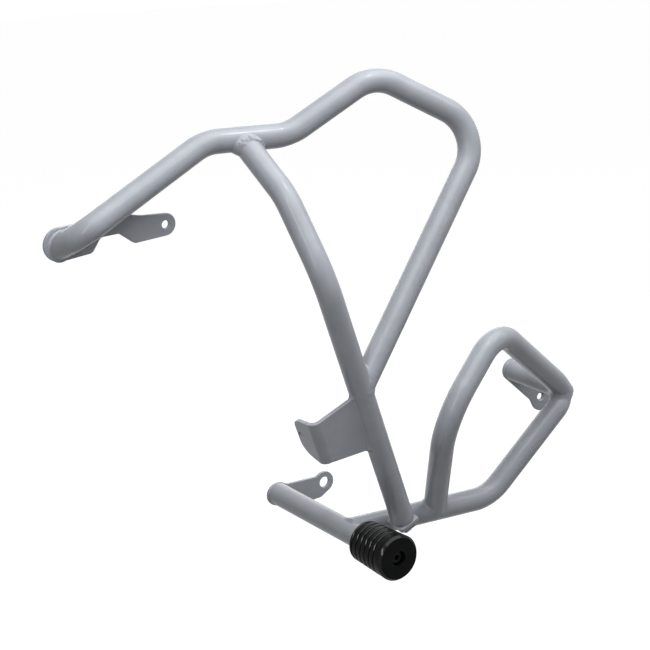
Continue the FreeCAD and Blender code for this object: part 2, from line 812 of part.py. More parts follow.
def make_slider_fixings():
    """The plug in the tube's end, the sleeve that takes the clamping load, washer and bolt."""
    socket = "slider_tube_depth + slider_plug_collar"
    seat_height = "slider_length - slider_recess_depth"
    head_height = seat_height + " + slider_washer_thickness"
    thread = "slider_bolt_diameter + thread_gap * 2"
    clearance = "slider_bolt_diameter + slip_gap * 2"
    collar = cylinder("plug_collar", "tube_diameter", "slider_plug_collar",
                      slider_level("slider_tube_depth"))
    stem = cylinder("plug_stem", "tube_diameter - tube_wall * 2", "slider_plug_length",
                    slider_level("slider_tube_depth - slider_plug_length"))
    tapping = cylinder("plug_thread", thread, "slider_plug_length + slider_plug_collar",
                       slider_level("slider_tube_depth - slider_plug_length"))
    plug = cut("slider_plug", fuse("plug_blank", [collar, stem]), [tapping])
    sleeve = ring("slider_sleeve", "slider_sleeve_diameter", clearance,
                  f"{seat_height} - slider_tube_depth - slider_plug_collar", socket)
    washer = ring("slider_washer", "slider_recess_diameter - slip_gap * 2", clearance,
                  "slider_washer_thickness", seat_height)
    head = cylinder("slider_head", "slider_head_diameter", "slider_head_height",
                    slider_level(head_height))
    shank = cylinder("slider_shank", "slider_bolt_diameter", "slider_bolt_length",
                     slider_level(head_height + " - slider_bolt_length"))
    key = hexagon("slider_key", "slider_key_flats", "slider_key_depth",
                  slider_level(head_height + " + slider_head_height - slider_key_depth"))
    bolt = cut("slider_bolt", fuse("slider_bolt_blank", [head, shank]), [key])
    return plug, sleeve, washer, bolt


BOLT_HOLE = "joint_bolt_diameter + slip_gap * 4"
reach_direction = Vector(down_run.z, 0, -down_run.x).normalize()
MID_FRAME = place(down_waist + down_run * size("mid_top_distance"),
                  x_axis=reach_direction, z_axis=down_run)
front_bracket = make_front_bracket()
inner_bracket = make_inner_bracket()
rear_bracket = make_rear_bracket()
seat = seat_block()

mid_bracket = make_mid_bracket()
foot_plate = make_foot_plate()
tab_blank = make_tab()
rail_tab = cut("rail_tab", tab_blank, [rail.outer])
foot_insert, joint_washer, joint_bolt = make_joint_pieces()
slider_puck = make_slider_puck()
slider_plug, slider_sleeve, slider_washer, slider_bolt = make_slider_fixings()

nodes = {
    "front_bracket": front_bracket,
    "inner_bracket": inner_bracket,
    "rear_bracket": rear_bracket,
    "hoop_tube": hoop.wall([down.outer, seat]),
    "down_tube": down.wall([hoop.outer]),
    "cross_tube": cross.wall([]),
    "rail_tube": rail.wall([cross.outer]),
    "loop_tube": loop.wall([rail.outer]),
    "front_bracket_weld": plate_weld("front_bracket_weld", hoop, front_end),
    "inner_bracket_weld": plate_weld("inner_bracket_weld", cross, cross_inner),
    "rear_bracket_weld": plate_weld("rear_bracket_weld", rail, rail_end),
    "hoop_top_weld": joint_weld("hoop_top_weld", hoop, down, down_top),
    "hoop_end_weld": joint_weld("hoop_end_weld", hoop, down, hoop_end),
    "rail_weld": joint_weld("rail_weld", rail, cross, rail_start),
    "loop_foot_weld": joint_weld("loop_foot_weld", loop, rail, loop_foot),
    "loop_top_weld": joint_weld("loop_top_weld", loop, rail, loop_end),
    "mid_bracket": mid_bracket,
    "mid_bracket_weld": make_mid_weld(mid_bracket),
    "foot_plate": foot_plate,
    "foot_insert": foot_insert,
    "rail_tab": rail_tab,
    "rail_tab_weld": make_tab_weld(rail_tab),
    "joint_bolt": joint_bolt,
    "joint_washer": joint_washer,
    "slider_puck": slider_puck,
    "slider_plug": slider_plug,
    "slider_sleeve": slider_sleeve,
    "slider_washer": slider_washer,
    "slider_bolt": slider_bolt,
}
document.recompute()
for item in document.Objects:
    faults = [state for state in item.State if state in ("Invalid", "Error")]
    if faults:
        raise RuntimeError(f"{item.Name} is {faults}")
for name, item in nodes.items():
    item.Label = name
    if item.Shape.isNull() or not item.Shape.isValid() or len(item.Shape.Solids) != 1:
        raise RuntimeError(f"{name} is not one sound solid")

os.makedirs("parts", exist_ok=True)
for name, item in nodes.items():
    item.Shape.exportStep(f"parts/{name}.step")
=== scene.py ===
"""Left-hand motorcycle crash bar: bent painted tubes, weld beads and a grooved slider.

Lengths are in metres, in the CAD's own frame: +X rearward, -Y outward, +Z up.
"""

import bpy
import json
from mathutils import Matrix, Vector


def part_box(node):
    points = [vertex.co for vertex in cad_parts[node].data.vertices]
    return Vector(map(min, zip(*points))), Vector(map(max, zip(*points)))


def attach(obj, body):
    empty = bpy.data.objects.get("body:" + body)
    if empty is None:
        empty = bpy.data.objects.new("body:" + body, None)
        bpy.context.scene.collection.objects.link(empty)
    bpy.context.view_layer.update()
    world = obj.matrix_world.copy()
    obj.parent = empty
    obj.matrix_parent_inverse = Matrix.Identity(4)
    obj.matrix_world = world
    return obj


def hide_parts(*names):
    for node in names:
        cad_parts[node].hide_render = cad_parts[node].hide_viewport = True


bl_info = {
    "name": "Crash Bar Scene",
    "version": (1, 0, 0),
    "blender": (4, 5, 0),
    "location": "View3D > Sidebar > Crash Bar",
    "description": "Builds the bent tubes, beads, brackets, slider and studio of a crash bar",
    "category": "Object",
}

import json
import math

import bmesh
import bpy
import numpy as np
from bpy.props import FloatProperty, FloatVectorProperty, IntProperty, PointerProperty
from mathutils import Vector

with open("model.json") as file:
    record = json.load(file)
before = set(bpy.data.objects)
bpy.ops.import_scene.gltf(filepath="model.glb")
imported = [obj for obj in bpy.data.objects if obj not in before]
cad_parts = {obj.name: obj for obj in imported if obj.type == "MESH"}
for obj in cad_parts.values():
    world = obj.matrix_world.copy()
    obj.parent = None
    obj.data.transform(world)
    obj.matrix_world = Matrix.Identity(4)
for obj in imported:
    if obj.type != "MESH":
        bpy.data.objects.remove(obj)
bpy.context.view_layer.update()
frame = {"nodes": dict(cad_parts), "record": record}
BODY = "root"


def unit(vectors):
    """Vectors scaled to length 1."""
    vectors = np.asarray(vectors, dtype=float)
    return vectors / np.linalg.norm(vectors, axis=-1, keepdims=True)


# Corners of the tubes' centre lines, worked out from the brackets that they run between.

TUBE_RADIUS = 0.01345
FRONT_FACE_Y, INNER_FACE_Y, REAR_FACE_Y = -0.068, -0.004, -0.056
RAIL_Y = -0.153
# How far along another tube's run a piece joins it, from the corner that the run starts at.
DOWN_ON_HOOP, HOOP_ON_DOWN, BRACKET_ON_DOWN, LOOP_ON_RAIL = 0.0433, 0.150, 0.1515, 0.122
TUBE_IN_SLIDER = 0.030
FRONT_END = np.array((-0.3725, FRONT_FACE_Y, 0.3575))
FRONT_BEND = np.array((-0.365, FRONT_FACE_Y - 0.032, 0.374))
HOOP_FRONT = np.array((-0.214, -0.093, 0.453))
HOOP_MIDDLE = np.array((-0.122, -0.113, 0.455))
HOOP_PEAK = np.array((-0.021, -0.129, 0.514))
HOOP_REAR = np.array((0.106, -0.164, 0.447))
DOWN_TOP = (HOOP_FRONT + unit(HOOP_MIDDLE - HOOP_FRONT) * DOWN_ON_HOOP
            + (0.0, 0.0017, -0.0023))
DOWN_SHOULDER = np.array((-0.1618, -0.1667, 0.4023))
DOWN_WAIST = np.array((-0.1487, -0.219, 0.322))
DOWN_FOOT = np.array((-0.0127, RAIL_Y - 0.026, 0.012))
DOWN_RUN = unit(DOWN_FOOT - DOWN_WAIST)
HOOP_END = DOWN_WAIST + DOWN_RUN * HOOP_ON_DOWN
CROSS_X = -0.068
SLIDER_BACK_Y = RAIL_Y - 0.0318
CROSS_INNER = np.array((CROSS_X, INNER_FACE_Y, 0.0))
CROSS_OUTER = np.array((CROSS_X, SLIDER_BACK_Y - TUBE_IN_SLIDER, 0.0))
RAIL_START = np.array((CROSS_X, RAIL_Y, 0.003))
RAIL_BEND = np.array((0.136, RAIL_Y, -0.001))
RAIL_TOP = np.array((0.252, RAIL_Y - 0.009, 0.113))
RAIL_END = np.array((0.252, REAR_FACE_Y, 0.113))
RAIL_TOP_RADIUS = 0.028
LOOP_FOOT = RAIL_START + unit(RAIL_BEND - RAIL_START) * LOOP_ON_RAIL
LOOP_FRONT = np.array((0.007, -0.229, 0.140))
LOOP_TOP = np.array((0.094, -0.210, 0.227))
# The middle bracket's root starts here, and its plate stands forward and folds inboard.
MID_ROOT = DOWN_WAIST + DOWN_RUN * BRACKET_ON_DOWN
MID_FORWARD = unit((DOWN_RUN[2], 0.0, -DOWN_RUN[0]))
MID_INBOARD = np.cross(DOWN_RUN, MID_FORWARD)


def loop_landing():
    """Where the loop's upper end lands: on the outer side of the middle of the rail's bend."""
    outside, onward, shift = 0.006, 0.004, (-0.0020, 0.0007, -0.0019)
    arriving, leaving = unit(RAIL_TOP - RAIL_BEND), unit(RAIL_END - RAIL_TOP)
    half_turn = np.arccos(arriving @ leaving) / 2
    inward = unit(leaving - arriving)
    middle = RAIL_TOP + inward * RAIL_TOP_RADIUS * (1.0 / np.cos(half_turn) - 1.0)
    landing = middle - inward * outside + unit(arriving + leaving) * onward
    return landing + shift


LOOP_END = loop_landing()
# A last slight bend, a little before the end and outside the straight line to it.
LOOP_LAST_RUN = 0.026
LOOP_TURN = (LOOP_END + unit(LOOP_TOP - LOOP_END) * LOOP_LAST_RUN
             + (0.0021, -0.0007, 0.0022))


# Settings


class CrashBarSizes(bpy.types.PropertyGroup):
    """Sizes of the tubes, the plates' edges and the slider, in metres."""

    tube_radius: FloatProperty(
        name="Tube radius", description="Outer radius of every tube",
        default=TUBE_RADIUS, min=0.005, unit="LENGTH",
    )
    tube_wall: FloatProperty(
        name="Tube wall", description="Thickness of the tubes' wall",
        default=0.002, min=0.0005, unit="LENGTH",
    )
    rim_round: FloatProperty(
        name="Rim round", description="Rounding of the tubes' free ends",
        default=0.0012, min=0.0, unit="LENGTH",
    )
    edge_round: FloatProperty(
        name="Edge round", description="Rounding of the plates' cut edges",
        default=0.0007, min=0.0, unit="LENGTH",
    )
    slider_length: FloatProperty(
        name="Slider length", description="Length of the slider along its axis",
        default=0.0617, min=0.02, unit="LENGTH",
    )
    slider_radius: FloatProperty(
        name="Slider radius", description="Radius at the slider's outer face",
        default=0.0267, min=0.015, unit="LENGTH",
    )
    slider_taper: FloatProperty(
        name="Slider taper", description="How much smaller the slider's radius is at its back",
        default=0.0031, min=0.0, unit="LENGTH",
    )
    groove_count: IntProperty(
        name="Grooves", description="Number of grooves round the slider",
        default=6, min=0, max=6,
    )
    groove_start: FloatProperty(
        name="First groove", description="Middle of the first groove from the slider's back",
        default=0.0044, min=0.002, unit="LENGTH",
    )
    groove_pitch: FloatProperty(
        name="Groove pitch", description="Distance from one groove to the next",
        default=0.0086, min=0.004, unit="LENGTH",
    )
    groove_width: FloatProperty(
        name="Groove width", description="Width of a groove at the ribs' edges",
        default=0.0026, min=0.001, unit="LENGTH",
    )
    groove_depth: FloatProperty(
        name="Groove depth", description="Depth of a groove below the ribs",
        default=0.0022, min=0.0005, unit="LENGTH",
    )
    recess_radius: FloatProperty(
        name="Recess radius", description="Radius of the bolt's recess in the face",
        default=0.0085, min=0.005, unit="LENGTH",
    )
    recess_depth: FloatProperty(
        name="Recess depth", description="Depth of the bolt's recess",
        default=0.014, min=0.002, unit="LENGTH",
    )


class CrashBarColours(bpy.types.PropertyGroup):
    """Colours of the finishes and the studio."""

    paint: FloatVectorProperty(
        name="Paint", description="Silver-grey powder coat of the frame",
        default=(0.30, 0.316, 0.35), subtype="COLOR", min=0.0, max=1.0,
    )
    plastic: FloatVectorProperty(
        name="Plastic", description="Turned black plastic of the slider",
        default=(0.0026, 0.0029, 0.0029), subtype="COLOR", min=0.0, max=1.0,
    )
    steel: FloatVectorProperty(
        name="Steel", description="Plated steel of the hidden fasteners",
        default=(0.50, 0.50, 0.49), subtype="COLOR", min=0.0, max=1.0,
    )
    oxide: FloatVectorProperty(
        name="Black oxide", description="Blackened steel of the slider's bolt",
        default=(0.004, 0.004, 0.0042), subtype="COLOR", min=0.0, max=1.0,
    )
    floor: FloatVectorProperty(
        name="Floor", description="Plain pale studio floor",
        default=(0.15, 0.15, 0.15), subtype="COLOR", min=0.0, max=1.0,
    )


# Materials


def new_material(name):
    """Make a named node material, and return its nodes, its links and its shader."""
    material = bpy.data.materials.new(name)
    material.use_nodes = True
    nodes = material.node_tree.nodes
    return nodes, material.node_tree.links, nodes.get("Principled BSDF")


def noise_node(nodes, links, scale, detail, roughness=0.5, stretch=None):
    """Noise on Object coordinates, stretched along the axes where that is asked for."""
    where = nodes.new("ShaderNodeTexCoord")
    noise = nodes.new("ShaderNodeTexNoise")
    noise.inputs["Scale"].default_value = scale
    noise.inputs["Detail"].default_value = detail
    noise.inputs["Roughness"].default_value = roughness
    if stretch:
        mapping = nodes.new("ShaderNodeMapping")
        mapping.inputs["Scale"].default_value = stretch
        links.new(where.outputs["Object"], mapping.inputs["Vector"])
        links.new(mapping.outputs["Vector"], noise.inputs["Vector"])
    else:
        links.new(where.outputs["Object"], noise.inputs["Vector"])
    return noise


def ramp_node(nodes, links, source, low, high, dark, light):
    """A colour ramp from dark to light between two levels of the source."""
    ramp = nodes.new("ShaderNodeValToRGB")
    ramp.color_ramp.elements[0].position = low
    ramp.color_ramp.elements[1].position = high
    ramp.color_ramp.elements[0].color = (*dark, 1.0)
    ramp.color_ramp.elements[1].color = (*light, 1.0)
    links.new(source, ramp.inputs["Fac"])
    return ramp


def range_node(nodes, links, source, low, high):
    """A number spread from low to high by a 0 to 1 source."""
    spread = nodes.new("ShaderNodeMapRange")
    spread.inputs["To Min"].default_value = low
    spread.inputs["To Max"].default_value = high
    links.new(source, spread.inputs["Value"])
    return spread


def bump_node(nodes, links, height, strength, distance, under=None):
    """A bump from a height source, over an earlier bump where there is one."""
    bump = nodes.new("ShaderNodeBump")
    bump.inputs["Strength"].default_value = strength
    bump.inputs["Distance"].default_value = distance
    links.new(height, bump.inputs["Height"])
    if under:
        links.new(under.outputs["Normal"], bump.inputs["Normal"])
    return bump


def shade(colour, factor):
    """A colour made lighter or darker."""
    return tuple(min(1.0, channel * factor) for channel in colour)


def paint_material(name, colour, lumps):
    """Satin powder coat: orange peel, faint mottling, and coarser lumps over a weld bead."""
    nodes, links, shader = new_material(name)
    mottle = noise_node(nodes, links, scale=38.0, detail=3.0)
    tint = ramp_node(nodes, links, mottle.outputs["Fac"], low=0.35, high=0.68,
                     dark=shade(colour, 0.95), light=shade(colour, 1.05))
    links.new(tint.outputs["Color"], shader.inputs["Base Color"])
    gloss = noise_node(nodes, links, scale=90.0, detail=4.0)
    spread = range_node(nodes, links, gloss.outputs["Fac"], low=0.44, high=0.56)
    links.new(spread.outputs["Result"], shader.inputs["Roughness"])
    peel = noise_node(nodes, links, scale=900.0, detail=2.0)
    skin = bump_node(nodes, links, peel.outputs["Fac"], strength=0.05, distance=0.00012)
    if lumps:
        drops = noise_node(nodes, links, scale=260.0, detail=3.0, roughness=0.55)
        skin = bump_node(nodes, links, drops.outputs["Fac"], strength=0.5, distance=0.0007,
                         under=skin)
    links.new(skin.outputs["Normal"], shader.inputs["Normal"])
    shader.inputs["Specular IOR Level"].default_value = 0.25
    shader.inputs["Coat Weight"].default_value = 0.35
    shader.inputs["Coat Roughness"].default_value = 0.17


def plastic_material(name, colour, axis_x):
    """Turned black plastic: fine rings left by the lathe round its axis, scuffs that dull the
    sheen, and a clearer gloss where the polish attribute marks a worn edge."""
    nodes, links, shader = new_material(name)
    where = nodes.new("ShaderNodeTexCoord")
    centre = nodes.new("ShaderNodeMapping")
    centre.inputs["Location"].default_value = (-axis_x, 0.0, 0.0)
    links.new(where.outputs["Object"], centre.inputs["Vector"])
    rings = nodes.new("ShaderNodeTexWave")
    rings.wave_type = "RINGS"
    rings.rings_direction = "Y"
    rings.inputs["Scale"].default_value = 480.0
    rings.inputs["Distortion"].default_value = 0.6
    rings.inputs["Detail"].default_value = 1.0
    links.new(centre.outputs["Vector"], rings.inputs["Vector"])
    scuffs = noise_node(nodes, links, scale=130.0, detail=5.0, roughness=0.6)
    tint = ramp_node(nodes, links, scuffs.outputs["Fac"], low=0.4, high=0.75,
                     dark=colour, light=shade(colour, 1.9))
    links.new(tint.outputs["Color"], shader.inputs["Base Color"])
    spread = range_node(nodes, links, scuffs.outputs["Fac"], low=0.30, high=0.50)
    links.new(spread.outputs["Result"], shader.inputs["Roughness"])
    skin = bump_node(nodes, links, rings.outputs["Fac"], strength=0.10, distance=0.00006)
    links.new(skin.outputs["Normal"], shader.inputs["Normal"])
    worn = nodes.new("ShaderNodeAttribute")
    worn.attribute_name = "polish"
    gloss = range_node(nodes, links, worn.outputs["Fac"], low=0.05, high=0.28)
    links.new(gloss.outputs["Result"], shader.inputs["Coat Weight"])
    shader.inputs["Specular IOR Level"].default_value = 0.02
    shader.inputs["Coat Roughness"].default_value = 0.10


def steel_material(name, colour, metallic, rough, specular):
    """Plated or blackened steel with fine turning lines, closest together along Y."""
    nodes, links, shader = new_material(name)
    grain = noise_node(nodes, links, scale=160.0, detail=5.0, roughness=0.6,
                       stretch=(1.0, 6.0, 1.0))
    tint = ramp_node(nodes, links, grain.outputs["Fac"], low=0.3, high=0.75,
                     dark=shade(colour, 0.82), light=shade(colour, 1.12))
    links.new(tint.outputs["Color"], shader.inputs["Base Color"])
    spread = range_node(nodes, links, grain.outputs["Fac"], low=rough - 0.06,
                        high=rough + 0.10)
    links.new(spread.outputs["Result"], shader.inputs["Roughness"])
    skin = bump_node(nodes, links, grain.outputs["Fac"], strength=0.15, distance=0.00008)
    links.new(skin.outputs["Normal"], shader.inputs["Normal"])
    shader.inputs["Metallic"].default_value = metallic
    shader.inputs["Specular IOR Level"].default_value = specular


def direct_view(nodes, links):
    """1 for rays that come straight from the camera, by gloss or through glass, else 0."""
    path = nodes.new("ShaderNodeLightPath")
    total = path.outputs["Is Camera Ray"]
    for name in ("Is Glossy Ray", "Is Transmission Ray"):
        larger = nodes.new("ShaderNodeMath")
        larger.operation = "MAXIMUM"
        links.new(total, larger.inputs[0])
        links.new(path.outputs[name], larger.inputs[1])
        total = larger.outputs["Value"]
    return total


def floor_material(name, colour, lift):
    """Pale floor lifted to white where it is seen directly, so that only shadows darken it."""
    nodes, links, shader = new_material(name)
    shader.inputs["Base Color"].default_value = (*colour, 1.0)
    shader.inputs["Roughness"].default_value = 0.9
    shader.inputs["Specular IOR Level"].default_value = 0.0
    shader.inputs["Emission Color"].default_value = (1.0, 1.0, 1.0, 1.0)
    glow = nodes.new("ShaderNodeMath")
    glow.operation = "MULTIPLY"
    glow.inputs[1].default_value = lift
    links.new(direct_view(nodes, links), glow.inputs[0])
    links.new(glow.outputs["Value"], shader.inputs["Emission Strength"])


# The material of each of the record's slots.
FINISHES = {
    "frame_paint": "silver_coat",
    "bare_steel": "zinc_plate",
    "black_steel": "black_oxide",
    "slider_plastic": "turned_nylon",
}


class CRASHBAR_OT_finishes(bpy.types.Operator):
    """Make every finish and put it on the CAD nodes by material slot."""

    bl_idname = "crashbar.finishes"
    bl_label = "Finishes"

    def execute(self, context):
        colours = context.scene.crashbar_colours
        low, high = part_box("slider_puck")
        paint_material("silver_coat", colours.paint, lumps=False)
        paint_material("silver_coat_on_bead", colours.paint, lumps=True)
        steel_material("zinc_plate", colours.steel, metallic=1.0, rough=0.34, specular=0.5)
        steel_material("black_oxide", colours.oxide, metallic=0.0, rough=0.42, specular=0.1)
        plastic_material("turned_nylon", colours.plastic, axis_x=(low[0] + high[0]) / 2)
        for part in frame["record"]["subparts"]:
            node = frame["nodes"][part["node"]]
            node.data.materials.clear()
            node.data.materials.append(bpy.data.materials[FINISHES[part["material_slot"]]])
        return {"FINISHED"}


# Surfaces

# Distance between a tube's rows in a bend and on a straight run, and between its path's points.
BEND_STEP, RUN_STEP, PATH_STEP = 0.0025, 0.0075, 0.0005
# Points round a tube, and round the finer ring that a bead's corner line is read from.
TUBE_COLUMNS, CORNER_COLUMNS = 96, 480
# How much a bend flattens the tube's section, as a share of its radius.
BEND_PINCH = 0.022
# Edges that turn by more than this stay sharp, or are eased on a plate.
SHARP_ANGLE = math.radians(35.0)


def straight_rows(start, end, side):
    """Rows on a straight run: the start plus equal steps, without the last one."""
    heading = unit(end - start)
    count = max(1, math.ceil(np.linalg.norm(end - start) / RUN_STEP))
    share = np.arange(count)[:, None] / count
    centre = start + (end - start) * share
    blank = np.zeros((count, 3))
    return centre, blank + heading, blank + side, blank


def turned_about(vector, axis, angle):
    """A vector turned about an axis: its part along the axis stays, the rest turns."""
    along = axis * (axis @ vector)
    return along + (vector - along) * np.cos(angle) + np.cross(axis, vector) * np.sin(angle)


class Route:
    """Rows along straight runs joined by tangent arcs, with a ring's side carried untwisted.

    On an arc the centre is the start plus radius * sin(angle) ahead and
    radius * (1 - cos(angle)) inwards, and the pinch is a half sine of the way round.
    """

    def __init__(self, corners, bends):
        start, heading = corners[0], unit(corners[1] - corners[0])
        askew = (0.31, 0.17, 0.93)
        side = unit(np.cross(heading, askew))
        blocks = []
        for at, radius in enumerate(bends, start=1):
            leaving = unit(corners[at + 1] - corners[at])
            turn = np.arccos(np.clip(heading @ leaving, -1.0, 1.0))
            first = corners[at] - heading * radius * np.tan(turn / 2)
            inward = unit(leaving - heading * (heading @ leaving))
            blocks.append(straight_rows(start, first, side))
            count = max(6, math.ceil(radius * turn / BEND_STEP))
            share = np.arange(count + 1)[:, None] / count
            angle = share * turn
            centre = first + (heading * np.sin(angle) + inward * (1 - np.cos(angle))) * radius
            ahead = heading * np.cos(angle) + inward * np.sin(angle)
            sides = turned_about(side, np.cross(heading, inward), angle)
            pinch = (inward * np.cos(angle) - heading * np.sin(angle)) * np.sin(np.pi * share)
            blocks.append((centre[:-1], ahead[:-1], sides[:-1], pinch[:-1]))
            start, heading, side = centre[-1], leaving, sides[-1]
        blocks.append(straight_rows(start, corners[-1], side))
        blocks.append((corners[-1][None], heading[None], side[None], np.zeros((1, 3))))
        self.centre, self.ahead, self.side, self.pinch = (
            np.concatenate(parts) for parts in zip(*blocks))
        self.first_run = len(blocks[0][0])
        self.last_run = len(blocks[-2][0])

    def rings(self, radius, columns):
        """Circles round the rows: centre + radius * (side cos t + up sin t), flattened a
        little in the plane of each bend."""
        angle = np.linspace(0.0, 2 * np.pi, columns, endpoint=False)[None, :, None]
        up = np.cross(self.ahead, self.side)
        out = self.side[:, None] * np.cos(angle) + up[:, None] * np.sin(angle)
        dent = (out * self.pinch[:, None]).sum(-1, keepdims=True) * self.pinch[:, None]
        return self.centre[:, None] + radius * (out - dent * BEND_PINCH)


class TubeSurface:
    """The outside of a tube: every point one radius from the nearest point of its route."""

    def __init__(self, route, radius):
        gaps = np.linalg.norm(np.diff(route.centre, axis=0), axis=1)
        distance = np.concatenate(([0.0], np.cumsum(gaps)))
        fine = np.arange(0.0, distance[-1], PATH_STEP)
        self.path = np.stack([np.interp(fine, distance, route.centre[:, k]) for k in range(3)], 1)
        self.radius = radius

    def nearest(self, points):
        """The route's nearest point to each point, sought within reach of the points' middle."""
        reach = 0.12
        flat = points.reshape(-1, 3)
        near = self.path[np.linalg.norm(self.path - flat.mean(0), axis=1) < reach]
        at = np.argmin((near ** 2).sum(1) - 2 * flat @ near.T, axis=1)
        return near[at].reshape(points.shape)

    def gap(self, points):
        """How far each point lies outside the surface."""
        return np.linalg.norm(points - self.nearest(points), axis=-1) - self.radius

    def normal(self, points):
        """The direction straight out of the surface."""
        return unit(points - self.nearest(points))

    def settle(self, points, sink):
        """Points moved onto the surface and sunk a little into it."""
        centre = self.nearest(points)
        return centre + unit(points - centre) * (self.radius - sink)


class FaceSurface:
    """A bracket's flat outer face, square to Y."""

    def __init__(self, level):
        self.level = level

    def gap(self, points):
        """How far each point lies outboard of the face."""
        return self.level - points[..., 1]

    def normal(self, points):
        """Straight outboard."""
        return np.broadcast_to((0.0, -1.0, 0.0), points.shape)

    def settle(self, points, sink):
        """Points moved onto the face and sunk a little into it."""
        points = points.copy()
        points[..., 1] = self.level + sink
        return points


def touch_distance(starts, heading, surface, usual):
    """How far along the heading each start meets the surface, between steps by proportion.

    The steps lie round the usual distance.  A line that only grazes the surface stops at its
    nearest approach.
    """
    short_of, beyond, count = 0.040, 0.015, 140
    steps = np.linspace(max(0.0, usual - short_of), usual + beyond, count)
    room = surface.gap(starts[:, None] + heading * steps[None, :, None])
    inside = room < 0.0
    at = np.where(inside.any(1), np.argmax(inside, axis=1), np.argmin(room, axis=1))
    at = np.maximum(at, 1)
    row = np.arange(len(starts))
    before, after = room[row, at - 1], room[row, at]
    share = np.clip(before / np.maximum(before - after, 1e-9), 0.0, 1.0)
    return steps[at - 1] + (steps[at] - steps[at - 1]) * share


def cope_end(rings, run, heading, surface):
    """Stretch the rows of an end's straight run so that the end ring lies on a surface."""
    usual = np.linalg.norm(rings[run].mean(0) - rings[0].mean(0))
    reach = touch_distance(rings[run], heading, surface, usual)
    share = (1.0 - np.arange(run + 1) / run)[:, None, None]
    rings[: run + 1] = rings[run] + heading * reach[:, None] * share


def tube_rings(route, radius, start_on, end_on, columns):
    """The route's rings, with each end coped to the surface that it is welded to."""
    rings = route.rings(radius, columns)
    if start_on:
        cope_end(rings, route.first_run, -route.ahead[0], start_on)
    if end_on:
        cope_end(rings[::-1], route.last_run, route.ahead[-1], end_on)
    return rings


def rim_rings(rings, heading, ease):
    """Rows that round a free end's outer edge: a quarter circle in from the last full ring."""
    centre = rings[-1].mean(0)
    out = rings[-1] - centre
    size = np.linalg.norm(out[0])
    angle = np.radians((0.0, 22.5, 45.0, 67.5, 90.0))[:, None, None]
    inset = 1.0 - (1.0 - np.cos(angle)) * ease / size
    return centre - heading * ease * (1.0 - np.sin(angle)) + out * inset


def grid_mesh(name, points):
    """Quads over a grid of points that closes on itself both along its rows and its columns."""
    rows, columns = points.shape[:2]
    index = np.arange(rows * columns).reshape(rows, columns)
    index = np.hstack((index, index[:, :1]))
    index = np.vstack((index, index[:1]))
    corners = (index[:-1, :-1], index[:-1, 1:], index[1:, 1:], index[1:, :-1])
    quads = np.stack(corners, -1).reshape(-1, 4)
    mesh = bpy.data.meshes.new(name)
    mesh.from_pydata(points.reshape(-1, 3), [], quads)
    return mesh


def face_outwards(mesh):
    """Turn a closed mesh's faces out, judged by the sign of its volume."""
    work = bmesh.new()
    work.from_mesh(mesh)
    volume = work.calc_volume(signed=True)
    work.free()
    if volume < 0.0:
        mesh.flip_normals()


def add_piece(name, mesh, finish, replaced, sharp=SHARP_ANGLE):
    """Make a mesh an object of the bar: smooth, finished, riding and standing for its nodes."""
    face_outwards(mesh)
    mesh.shade_smooth()
    mesh.set_sharp_from_angle(angle=sharp)
    mesh.materials.clear()
    mesh.materials.append(bpy.data.materials[finish])
    piece = bpy.data.objects.new(name, mesh)
    bpy.context.scene.collection.objects.link(piece)
    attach(piece, BODY)
    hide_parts(*replaced)
    return piece


# Tubes


def frame_routes():
    """Every tube's route, from its corners and the radius of the bend at each inner corner."""
    return {
        "hoop": Route([FRONT_END, FRONT_BEND, HOOP_FRONT, HOOP_MIDDLE, HOOP_PEAK, HOOP_REAR,
                       HOOP_END], (0.028, 0.060, 0.063, 0.052, 0.046)),
        "down": Route([DOWN_TOP, DOWN_SHOULDER, DOWN_WAIST, DOWN_FOOT], (0.088, 0.076)),
        "cross": Route([CROSS_INNER, CROSS_OUTER], ()),
        "rail": Route([RAIL_START, RAIL_BEND, RAIL_TOP, RAIL_END], (0.053, RAIL_TOP_RADIUS)),
        "loop": Route([LOOP_FOOT, LOOP_FRONT, LOOP_TOP, LOOP_TURN, LOOP_END],
                      (0.067, 0.044, 0.060)),
    }


def joint_surfaces(routes, radius):
    """Every surface that a tube can be welded to: the tubes, and three brackets' faces."""
    surfaces = {name: TubeSurface(route, radius) for name, route in routes.items()}
    surfaces["front_face"] = FaceSurface(FRONT_FACE_Y)
    surfaces["inner_face"] = FaceSurface(INNER_FACE_Y)
    surfaces["rear_face"] = FaceSurface(REAR_FACE_Y)
    return surfaces


class CRASHBAR_OT_tubes(bpy.types.Operator):
    """Bend the five tubes, hollow, with their ends coped to what they are welded to."""

    bl_idname = "crashbar.tubes"
    bl_label = "Bent tubes"

    def execute(self, context):
        sizes = context.scene.crashbar_sizes
        routes = frame_routes()
        surfaces = joint_surfaces(routes, sizes.tube_radius)
        ends = {
            "hoop": (surfaces["front_face"], surfaces["down"]),
            "down": (surfaces["hoop"], None),
            "cross": (None, None),
            "rail": (surfaces["cross"], None),
            "loop": (surfaces["rail"], surfaces["rail"]),
        }
        for name, route in routes.items():
            outer, inner = (tube_rings(route, radius, *ends[name], TUBE_COLUMNS)
                            for radius in (sizes.tube_radius, sizes.tube_radius - sizes.tube_wall))
            if ends[name][1] is None:
                rim = rim_rings(outer, route.ahead[-1], sizes.rim_round)
                outer = np.concatenate((outer[:-1], rim))
            mesh = grid_mesh("bent_" + name, np.concatenate((outer, inner[::-1])))
            add_piece("bent_" + name, mesh, "silver_coat", [name + "_tube"])
        return {"FINISHED"}


# Beads

# Points across a bead from toe to toe.
BEAD_COLUMNS = 17
# How strongly a crescent bows back towards the toes, and how round its profile is.
CRESCENT_BOW, CRESCENT_ROUND = 0.9, 0.96
# How much the slow sines change the legs and the crown.
UNEVEN_LEG, UNEVEN_CROWN = 0.16, 0.25
